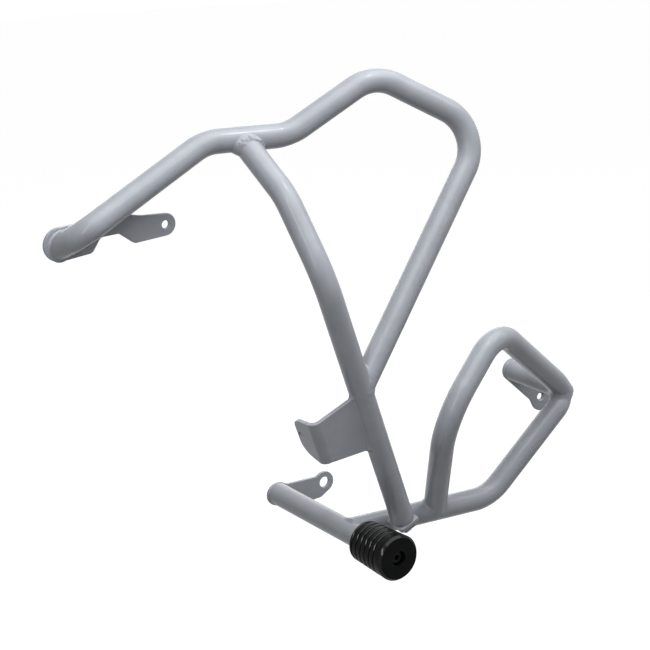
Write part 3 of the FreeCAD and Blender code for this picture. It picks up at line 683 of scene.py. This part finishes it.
# How far the toes sink into their surfaces, and how far the root lies below the corner.
TOE_SINK, ROOT_DEPTH = 0.0002, 0.001
# Metal in the corner as a share of the leg, and the band that holds the drops in legs.
CORNER_FILL, DROP_BAND = 0.12, 1.4
# The drops' smallest and largest radius, their smallest and largest height in crowns, and
# what is added to a bead's seed for them.
DROP_RADII, DROP_HEIGHTS, DROP_SEED = (0.0009, 0.0021), (0.2, 0.9), 100


def along_loop(points):
    """The distance of each point along a closed line, and the line's whole length."""
    steps = np.linalg.norm(np.roll(points, -1, 0) - points, axis=1)
    return np.concatenate(([0.0], np.cumsum(steps[:-1]))), steps.sum()


def drop_field(turn, across, whole, width, drops, seed):
    """Heaps of weld metal at seeded places: a sum of round bells, each with its own size."""
    draw = np.random.default_rng(seed + DROP_SEED)
    where = draw.uniform(0.0, 1.0, (drops, 2))
    size = draw.uniform(*DROP_RADII, drops)
    height = draw.uniform(*DROP_HEIGHTS, drops)
    along = (turn[:, None, None] - where[:, 0] + 0.5) % 1.0 - 0.5
    sideways = across[:, :, None] - where[:, 1]
    reach = (along * whole) ** 2 + (sideways * width) ** 2
    return (np.exp(-reach / size ** 2) * height).sum(-1)


def bead_mesh(name, corner, first, second, away, leg, crown, ripple, pitch, lean, drops, seed):
    """A weld bead along the closed corner line between two surfaces.

    Its section is a quadratic curve that leaves each surface at the toe of a leg and heads for
    the corner, (1 - v)^2 toe + 2 v (1 - v) corner + v^2 other toe, raised in the middle by
    crown * sin(pi v)^1.5.  Crescents a pitch apart, each a half ellipse lengthwise, lower the
    crown between them, slow sines make the legs and the crown uneven, lean makes the legs
    longer towards the front, and drops are heaps of metal on the side that faces up.
    """
    tangent = unit(np.roll(corner, -1, 0) - np.roll(corner, 1, 0))
    out_first, out_second = first.normal(corner), second.normal(corner)
    up_first = unit(np.cross(tangent, out_first))
    up_first *= np.sign((up_first * away).sum())
    up_second = unit(np.cross(tangent, out_second))
    up_second *= np.sign((up_second * out_first).sum())
    distance, whole = along_loop(corner)
    turn = distance / whole
    phases = np.random.default_rng(seed).uniform(0.0, 2 * np.pi, 4)
    uneven = sum(np.sin(2 * np.pi * k * turn + phase) / k
                 for k, phase in zip((2, 3, 5, 9), phases))[:, None]
    across = np.linspace(0.0, 1.0, BEAD_COLUMNS)[None]
    coins = max(1, round(whole / pitch))
    place = (turn[:, None] * coins + CRESCENT_BOW * (across - 0.5) ** 2) % 1.0
    coin = np.sqrt(np.clip(1.0 - CRESCENT_ROUND * (2 * place - 1) ** 2, 0.0, 1.0))
    frontward = corner.mean(0)[0] - corner[:, :1]
    spread = leg * (1.0 + UNEVEN_LEG * uneven + lean * frontward / np.abs(frontward).max())
    toe_first = first.settle(corner + up_first * spread, TOE_SINK)
    toe_second = second.settle(corner + up_second * spread, TOE_SINK)
    lift = unit(out_first + out_second)
    height = crown * (1.0 + UNEVEN_CROWN * uneven) * (1.0 - ripple * (1.0 - coin))
    if drops:
        upper = np.clip(0.5 + 1.5 * lift[:, 2:], 0.0, 1.0)
        heaps = drop_field(turn, across, whole, DROP_BAND * leg, drops, seed)
        height = height + crown * upper * heaps
    height = height * np.sin(np.pi * across) ** 1.5
    across, height = across[..., None], height[..., None]
    middle = (corner + lift * leg * CORNER_FILL)[:, None]
    top = (toe_first[:, None] * (1.0 - across) ** 2 + middle * 2.0 * across * (1.0 - across)
           + toe_second[:, None] * across ** 2 + lift[:, None] * height)
    root = (corner - lift * ROOT_DEPTH)[:, None]
    return grid_mesh(name, np.concatenate((top, root), axis=1))


# Joints: arriving tube, its end, what it lands on, the CAD bead, and the bead's leg, crown,
# ripple depth, ripple pitch, lean towards the front and number of drops.
JOINTS = [
    ("hoop", "start", "front_face", "front_bracket_weld", 0.0022, 0.0003, 0.3, 0.0028, 0.0, 0),
    ("hoop", "end", "down", "hoop_end_weld", 0.0050, 0.0005, 0.3, 0.0030, 0.0, 0),
    ("down", "start", "hoop", "hoop_top_weld", 0.0056, 0.0010, 0.1, 0.0042, 0.30, 130),
    ("cross", "start", "inner_face", "inner_bracket_weld", 0.0010, 0.0002, 0.2, 0.0026, 0.0, 0),
    ("rail", "start", "cross", "rail_weld", 0.0040, 0.0002, 0.2, 0.0030, 0.0, 0),
    ("rail", "end", "rear_face", "rear_bracket_weld", 0.0010, 0.0002, 0.2, 0.0026, 0.0, 0),
    ("loop", "start", "rail", "loop_foot_weld", 0.0042, 0.0003, 0.3, 0.0030, 0.0, 0),
    ("loop", "end", "rail", "loop_top_weld", 0.0060, 0.0004, 0.15, 0.0030, 0.0, 20),
]

# The middle bracket's root: half its width, its length and the rounding of its corners.
MID_HALF_WIDTH, MID_LENGTH, MID_EASE = 0.0025, 0.0731, 0.0024
# How far its lower end recedes upwards for each metre away from the tube.
MID_SLOPE = 0.367
# Its bead's leg on the sides, what the leg gains at the ends, and the rest as in JOINTS.
MID_LEG, MID_END_LEG = 0.0032, 0.0040
MID_BEAD = (0.0002, 0.3, 0.0030, 0.0, 0)


def root_line(radius):
    """The middle bracket's root on the down tube: a rounded rectangle wrapped on the tube.

    Returns the closed line and the plate's outward direction along it.
    """
    quarter = np.linspace(0.0, np.pi / 2, 45)
    edge = np.linspace(0.0, 1.0, 90)[1:-1]
    across, along, turn = [], [], []
    corners = ((1, 1), (-1, 1), (-1, -1), (1, -1))
    for at, (side, end) in enumerate(corners):
        angle = at * np.pi / 2 + quarter
        across.append(side * (MID_HALF_WIDTH - MID_EASE) + MID_EASE * np.cos(angle))
        along.append((end + 1) / 2 * MID_LENGTH - end * MID_EASE + MID_EASE * np.sin(angle))
        turn.append(angle)
        if side * end < 0:
            run = (1.0 - edge) if end > 0 else edge
            across.append(np.full(len(edge), side * MID_HALF_WIDTH))
            along.append(MID_EASE + (MID_LENGTH - 2 * MID_EASE) * run)
            turn.append(np.full(len(edge), angle[-1]))
    across, along, turn = (np.concatenate(part)[:, None] for part in (across, along, turn))
    depth = np.sqrt(radius ** 2 - across ** 2)
    line = MID_ROOT + MID_FORWARD * depth + MID_INBOARD * across + DOWN_RUN * along
    return line, MID_INBOARD * np.cos(turn) + DOWN_RUN * np.sin(turn)


class PlateSurface:
    """The middle bracket's sides and ends, known by their outward direction along its root.

    The lower end recedes upwards by MID_SLOPE times the height above the tube.
    """

    def __init__(self, outward, radius):
        self.outward = outward
        self.radius = radius

    def normal(self, points):
        """Straight out of the plate's side."""
        return self.outward

    def settle(self, points, sink):
        """Points moved onto the plate and sunk a little into it."""
        arm = points - MID_ROOT
        arm = arm - (arm @ DOWN_RUN)[:, None] * DOWN_RUN
        rise = np.linalg.norm(arm, axis=1, keepdims=True) - self.radius
        lower = np.clip(self.outward @ DOWN_RUN, 0.0, 1.0)[:, None]
        return points - self.outward * sink - DOWN_RUN * MID_SLOPE * rise * lower


class CRASHBAR_OT_beads(bpy.types.Operator):
    """Lay a rippled bead round each welded tube end and round the middle bracket's root."""

    bl_idname = "crashbar.beads"
    bl_label = "Weld beads"

    def execute(self, context):
        radius = context.scene.crashbar_sizes.tube_radius
        routes = frame_routes()
        surfaces = joint_surfaces(routes, radius)
        for at, (name, end, other, node, *shape) in enumerate(JOINTS):
            route, landing = routes[name], surfaces[other]
            start_on, end_on = (landing, None) if end == "start" else (None, landing)
            rings = tube_rings(route, radius, start_on, end_on, CORNER_COLUMNS)
            if end == "start":
                corner, away = rings[0], route.ahead[0]
            else:
                corner, away = rings[-1], -route.ahead[-1]
            self.lay(node, corner, surfaces[name], landing, away, *shape, at)
        line, outward = root_line(radius)
        leg = MID_LEG + MID_END_LEG * np.abs(outward @ DOWN_RUN)[:, None]
        self.lay("mid_bracket_weld", line, surfaces["down"], PlateSurface(outward, radius),
                 outward, leg, *MID_BEAD, len(JOINTS))
        return {"FINISHED"}

    def lay(self, node, *form):
        """Add the bead that stands for a CAD bead, smooth all over."""
        mesh = bead_mesh("bead_" + node, *form)
        add_piece("bead_" + node, mesh, "silver_coat_on_bead", [node], math.pi)


# Slider

# The bore's depth, its gap round the cross tube, and the radius of the sleeve's hole.
BORE_DEPTH, BORE_GAP, SLEEVE_RADIUS = 0.033, 0.0002, 0.0072
# A rib's worn edge: how far it reaches along the rib, and how deep it cuts.
RIB_WEAR, RIB_WEAR_DEPTH = 0.0011, 0.0009
# The face's worn edge: how far it reaches back and in, and how much it starts below the taper.
FACE_WEAR, FACE_WEAR_DEPTH, FACE_DROP = 0.0030, 0.0026, 0.00015
# A groove's width at its floor, as a share of its width at the ribs.
GROOVE_FLOOR = 0.67


def rounded_profile(corners):
    """A closed profile of straight lines with its corners rounded by tangent arcs.

    Each corner is (radius from the axis, height, rounding, polish of the line that follows).
    Returns the points and the polish of each, which changes over along the arcs.
    """
    points = np.array([corner[:2] for corner in corners])
    rows, polish = [], []
    for at, (_, _, ease, shine) in enumerate(corners):
        here, before, after = points[at], points[at - 1], points[(at + 1) % len(points)]
        if not ease:
            rows.append(here[None])
            polish.append([shine])
            continue
        inward, outward = unit(here - before), unit(after - here)
        turn = np.arccos(np.clip(inward @ outward, -1.0, 1.0))
        start = here - inward * ease * np.tan(turn / 2)
        bend = unit(outward - inward * (inward @ outward))
        angle = np.linspace(0.0, turn, 7)[:, None]
        rows.append(start + (inward * np.sin(angle) + bend * (1 - np.cos(angle))) * ease)
        polish.append(np.linspace(corners[at - 1][3], shine, 7))
    return np.concatenate(rows), np.concatenate(polish)


def turned_mesh(name, profile, polish, columns):
    """A profile turned round the slider's axis: radius cos t rearward and radius sin t up."""
    angle = np.linspace(0.0, 2 * np.pi, columns, endpoint=False)
    out, height = profile[:, :1], profile[:, 1:]
    points = np.stack((
        CROSS_X + out * np.cos(angle),
        np.broadcast_to(SLIDER_BACK_Y - height, (len(profile), columns)),
        out * np.sin(angle),
    ), -1)
    mesh = grid_mesh(name, points)
    worn = mesh.attributes.new("polish", "FLOAT", "POINT")
    worn.data.foreach_set("value", np.repeat(polish, columns))
    return mesh


class CRASHBAR_OT_slider(bpy.types.Operator):
    """Turn the grooved plastic slider with its worn rib edges, bore and bolt recess."""

    bl_idname = "crashbar.slider"
    bl_label = "Slider"

    def execute(self, context):
        sizes = context.scene.crashbar_sizes
        length, face = sizes.slider_length, sizes.slider_radius
        back = face - sizes.slider_taper
        bore = sizes.tube_radius + BORE_GAP
        corners = [(bore, 0.0, 0.0006, 0.0), (back, 0.0, 0.001, 0.0)]
        for groove in range(sizes.groove_count):
            middle = sizes.groove_start + sizes.groove_pitch * groove
            rim = back + sizes.slider_taper * middle / length
            floor, half = rim - sizes.groove_depth, sizes.groove_width / 2
            corners += [
                (rim, middle - half - RIB_WEAR, 0.0002, 1.0),
                (rim - RIB_WEAR_DEPTH, middle - half, 0.0002, 0.0),
                (floor, middle - half * GROOVE_FLOOR, 0.0004, 0.0),
                (floor, middle + half * GROOVE_FLOOR, 0.0004, 0.0),
                (rim, middle + half, 0.0005, 0.0),
            ]
        recess, recess_floor = sizes.recess_radius, length - sizes.recess_depth
        corners += [
            (face - FACE_DROP, length - FACE_WEAR, 0.0006, 1.0),
            (face - FACE_WEAR_DEPTH, length, 0.0006, 0.0),
            (recess, length, 0.0005, 0.0),
            (recess, recess_floor, 0.0, 0.0),
            (SLEEVE_RADIUS, recess_floor, 0.0, 0.0),
            (SLEEVE_RADIUS, BORE_DEPTH, 0.0, 0.0),
            (bore, BORE_DEPTH, 0.0, 0.0),
        ]
        mesh = turned_mesh("turned_slider", *rounded_profile(corners), columns=192)
        add_piece("turned_slider", mesh, "turned_nylon", ["slider_puck"],
                  sharp=math.radians(50.0))
        return {"FINISHED"}


# Plates and fasteners

# Where the middle bracket's flap begins inboard, and where its lower edge begins.
FLAP_INBOARD, FLAP_EDGE_DEPTH = 0.00495, 0.0440
# The step filled at the fold: where the filling is whole, and its depth and width.
FILL_INBOARD, FILL_DEPTH, FILL_WIDTH = 0.005, 0.0025, 0.020
# The plate's lower edge, from where it counts as the edge, and what it goes down to beside
# the fold, between two distances ahead of the tube's axis.
PLATE_DEPTH, PLATE_EDGE_DEPTH, FILLED_DEPTH = 0.056, 0.0555, 0.0568
FOLD_START, FOLD_END = 0.055, 0.0601
# Points nearer than this after the filling become one.
FILL_MERGE = 0.00003


def fill_fold_end(work):
    """Let the middle bracket's flap run into the lower end of its fold without a step.

    The flap's lower edge goes down by the filling's depth at the fold and by less further
    inboard, as 1 - (3 s^2 - 2 s^3) over its width, and the plate's lower edge goes down a
    little beside it.
    """
    for vert in work.verts:
        arm = np.array(vert.co) - MID_ROOT
        ahead, inboard, depth = arm @ MID_FORWARD, arm @ MID_INBOARD, arm @ DOWN_RUN
        lower = depth
        if inboard > FLAP_INBOARD and depth > FLAP_EDGE_DEPTH:
            share = min(1.0, (inboard - FILL_INBOARD) / FILL_WIDTH)
            fall = 1.0 - share ** 2 * (3.0 - 2.0 * share)
            lower = min(PLATE_DEPTH, depth + FILL_DEPTH * fall)
        elif depth > PLATE_EDGE_DEPTH and FOLD_START < ahead < FOLD_END:
            lower = FILLED_DEPTH
        vert.co += Vector(DOWN_RUN * (lower - depth))
    bmesh.ops.remove_doubles(work, verts=work.verts, dist=FILL_MERGE)


def eased_copy(node, ease, mend=None):
    """Add a merged copy of a CAD piece whose sharp edges are rounded by a bevel.

    Mend, where it is given, changes the merged copy before its flat faces are joined.
    """
    source = frame["nodes"][node]
    work = bmesh.new()
    work.from_mesh(source.data)
    bmesh.ops.remove_doubles(work, verts=work.verts, dist=1e-6)
    if mend:
        mend(work)
    bmesh.ops.dissolve_limit(work, angle_limit=math.radians(1.0), verts=work.verts,
                             edges=work.edges)
    mesh = bpy.data.meshes.new("eased_" + node)
    work.to_mesh(mesh)
    work.free()
    finish = source.data.materials[0].name
    piece = add_piece("eased_" + node, mesh, finish, [node])
    bevel = piece.modifiers.new("ease", "BEVEL")
    bevel.width = ease
    bevel.segments = 3
    bevel.limit_method = "ANGLE"
    bevel.angle_limit = SHARP_ANGLE
    bevel.use_clamp_overlap = True


class CRASHBAR_OT_plates(bpy.types.Operator):
    """Ease the cut edges of the brackets, the foot joint's pieces and the bolts."""

    bl_idname = "crashbar.plates"
    bl_label = "Plates and fasteners"

    def execute(self, context):
        ease = context.scene.crashbar_sizes.edge_round
        for node in ("front_bracket", "inner_bracket", "rear_bracket", "foot_plate", "rail_tab"):
            eased_copy(node, ease)
        eased_copy("mid_bracket", ease, fill_fold_end)
        for node in ("joint_bolt", "joint_washer", "slider_bolt", "slider_washer"):
            eased_copy(node, ease / 3)
        return {"FINISHED"}


# Stage

# The lamps point here, at about the bar's middle.
AIM = (-0.03, -0.12, 0.22)
# Lamps: name, place, width and height in metres, and power in watts.
LAMPS = [
    ("top_lamp", (0.1, -0.58, 1.6), 2.4, 1.5, 40.0),
    ("streak_lamp", (0.12, -0.60, 1.6), 0.12, 0.12, 3.0),
    ("back_lamp", (0.5, 1.5, 0.45), 1.8, 1.2, 9.0),
    ("strip_lamp", (-1.25, -1.0, 0.9), 0.07, 1.3, 8.0),
]
CAMERA_PLACE = (-1.17378, -1.70649, 0.77669)
# How far the camera looks rearward from straight inboard, and how far down.
CAMERA_TURN, CAMERA_TILT = math.radians(34.6), math.radians(15.6)
SENSOR_WIDTH, LENS = 36.0, 99.69
FLOOR_HALF_WIDTH, FLOOR_LEVEL = 8.0, -0.32


def area_light(name, place, width, height, power):
    """A soft rectangular lamp that points from its place at the bar."""
    lamp = bpy.data.lights.new(name, "AREA")
    lamp.shape = "RECTANGLE"
    lamp.size, lamp.size_y = width, height
    lamp.energy = power
    holder = bpy.data.objects.new(name, lamp)
    holder.location = place
    holder.rotation_euler = (Vector(AIM) - Vector(place)).to_track_quat("-Z", "Y").to_euler()
    bpy.context.scene.collection.objects.link(holder)


class CRASHBAR_OT_stage(bpy.types.Operator):
    """Make the camera, the soft lamps, the white surround and the floor."""

    bl_idname = "crashbar.stage"
    bl_label = "Stage"

    def execute(self, context):
        scene = context.scene
        scene.view_settings.view_transform = "Standard"
        self.make_camera(scene)
        self.make_world(scene)
        self.make_floor(scene)
        for lamp in LAMPS:
            area_light(*lamp)
        return {"FINISHED"}

    def make_camera(self, scene):
        """The photograph's long lens, a little above the bar and well out to its front left."""
        data = bpy.data.cameras.new("photo_camera")
        data.sensor_width = SENSOR_WIDTH
        data.lens = LENS
        camera = bpy.data.objects.new("photo_camera", data)
        level = math.cos(CAMERA_TILT)
        ahead = Vector((math.sin(CAMERA_TURN) * level, math.cos(CAMERA_TURN) * level,
                        -math.sin(CAMERA_TILT)))
        camera.location = CAMERA_PLACE
        camera.rotation_euler = ahead.to_track_quat("-Z", "Y").to_euler()
        scene.collection.objects.link(camera)
        scene.camera = camera

    def make_world(self, scene):
        """White to the camera and to gloss, and a dimmer soft fill for everything else."""
        world = bpy.data.worlds.new("studio")
        scene.world = world
        world.use_nodes = True
        nodes, links = world.node_tree.nodes, world.node_tree.links
        nodes.clear()
        fill = nodes.new("ShaderNodeBackground")
        fill.inputs["Color"].default_value = (0.95, 0.97, 1.0, 1.0)
        fill.inputs["Strength"].default_value = 0.045
        white = nodes.new("ShaderNodeBackground")
        white.inputs["Strength"].default_value = 1.0
        white.inputs["Color"].default_value = (1.0, 1.0, 1.0, 1.0)
        mixed = nodes.new("ShaderNodeMixShader")
        end = nodes.new("ShaderNodeOutputWorld")
        links.new(direct_view(nodes, links), mixed.inputs["Fac"])
        links.new(fill.outputs["Background"], mixed.inputs[1])
        links.new(white.outputs["Background"], mixed.inputs[2])
        links.new(mixed.outputs["Shader"], end.inputs["Surface"])

    def make_floor(self, scene):
        """A wide square well below the bar, which hangs from its mount."""
        floor_material("studio_floor", scene.crashbar_colours.floor, lift=0.98)
        half, level = FLOOR_HALF_WIDTH, FLOOR_LEVEL
        corners = [(-half, -half, level), (half, -half, level), (half, half, level),
                   (-half, half, level)]
        mesh = bpy.data.meshes.new("floor")
        mesh.from_pydata(corners, [], [(0, 1, 2, 3)])
        mesh.materials.append(bpy.data.materials["studio_floor"])
        floor = bpy.data.objects.new("floor", mesh)
        scene.collection.objects.link(floor)


# Registration and the run


class CRASHBAR_PT_panel(bpy.types.Panel):
    """Lists the sizes, the colours and the steps."""

    bl_label = "Crash Bar"
    bl_idname = "CRASHBAR_PT_panel"
    bl_space_type = "VIEW_3D"
    bl_region_type = "UI"
    bl_category = "Crash Bar"

    def draw(self, context):
        for group in (context.scene.crashbar_sizes, context.scene.crashbar_colours):
            for name in group.__annotations__:
                self.layout.prop(group, name)
        for step in STEPS:
            self.layout.operator(step.bl_idname)


STEPS = [CRASHBAR_OT_finishes, CRASHBAR_OT_tubes, CRASHBAR_OT_beads, CRASHBAR_OT_slider,
         CRASHBAR_OT_plates, CRASHBAR_OT_stage]
CLASSES = [CrashBarSizes, CrashBarColours, *STEPS, CRASHBAR_PT_panel]


def register():
    """Register the classes and hang the settings on the scene."""
    for item in CLASSES:
        bpy.utils.register_class(item)
    bpy.types.Scene.crashbar_sizes = PointerProperty(type=CrashBarSizes)
    bpy.types.Scene.crashbar_colours = PointerProperty(type=CrashBarColours)


def unregister():
    """Take the settings and classes away again."""
    del bpy.types.Scene.crashbar_colours
    del bpy.types.Scene.crashbar_sizes
    for item in reversed(CLASSES):
        bpy.utils.unregister_class(item)


def main():
    """Build everything in order."""
    register()
    for step in STEPS:
        family, name = step.bl_idname.split(".")
        getattr(getattr(bpy.ops, family), name)()


if __name__ == "__main__":
    main()
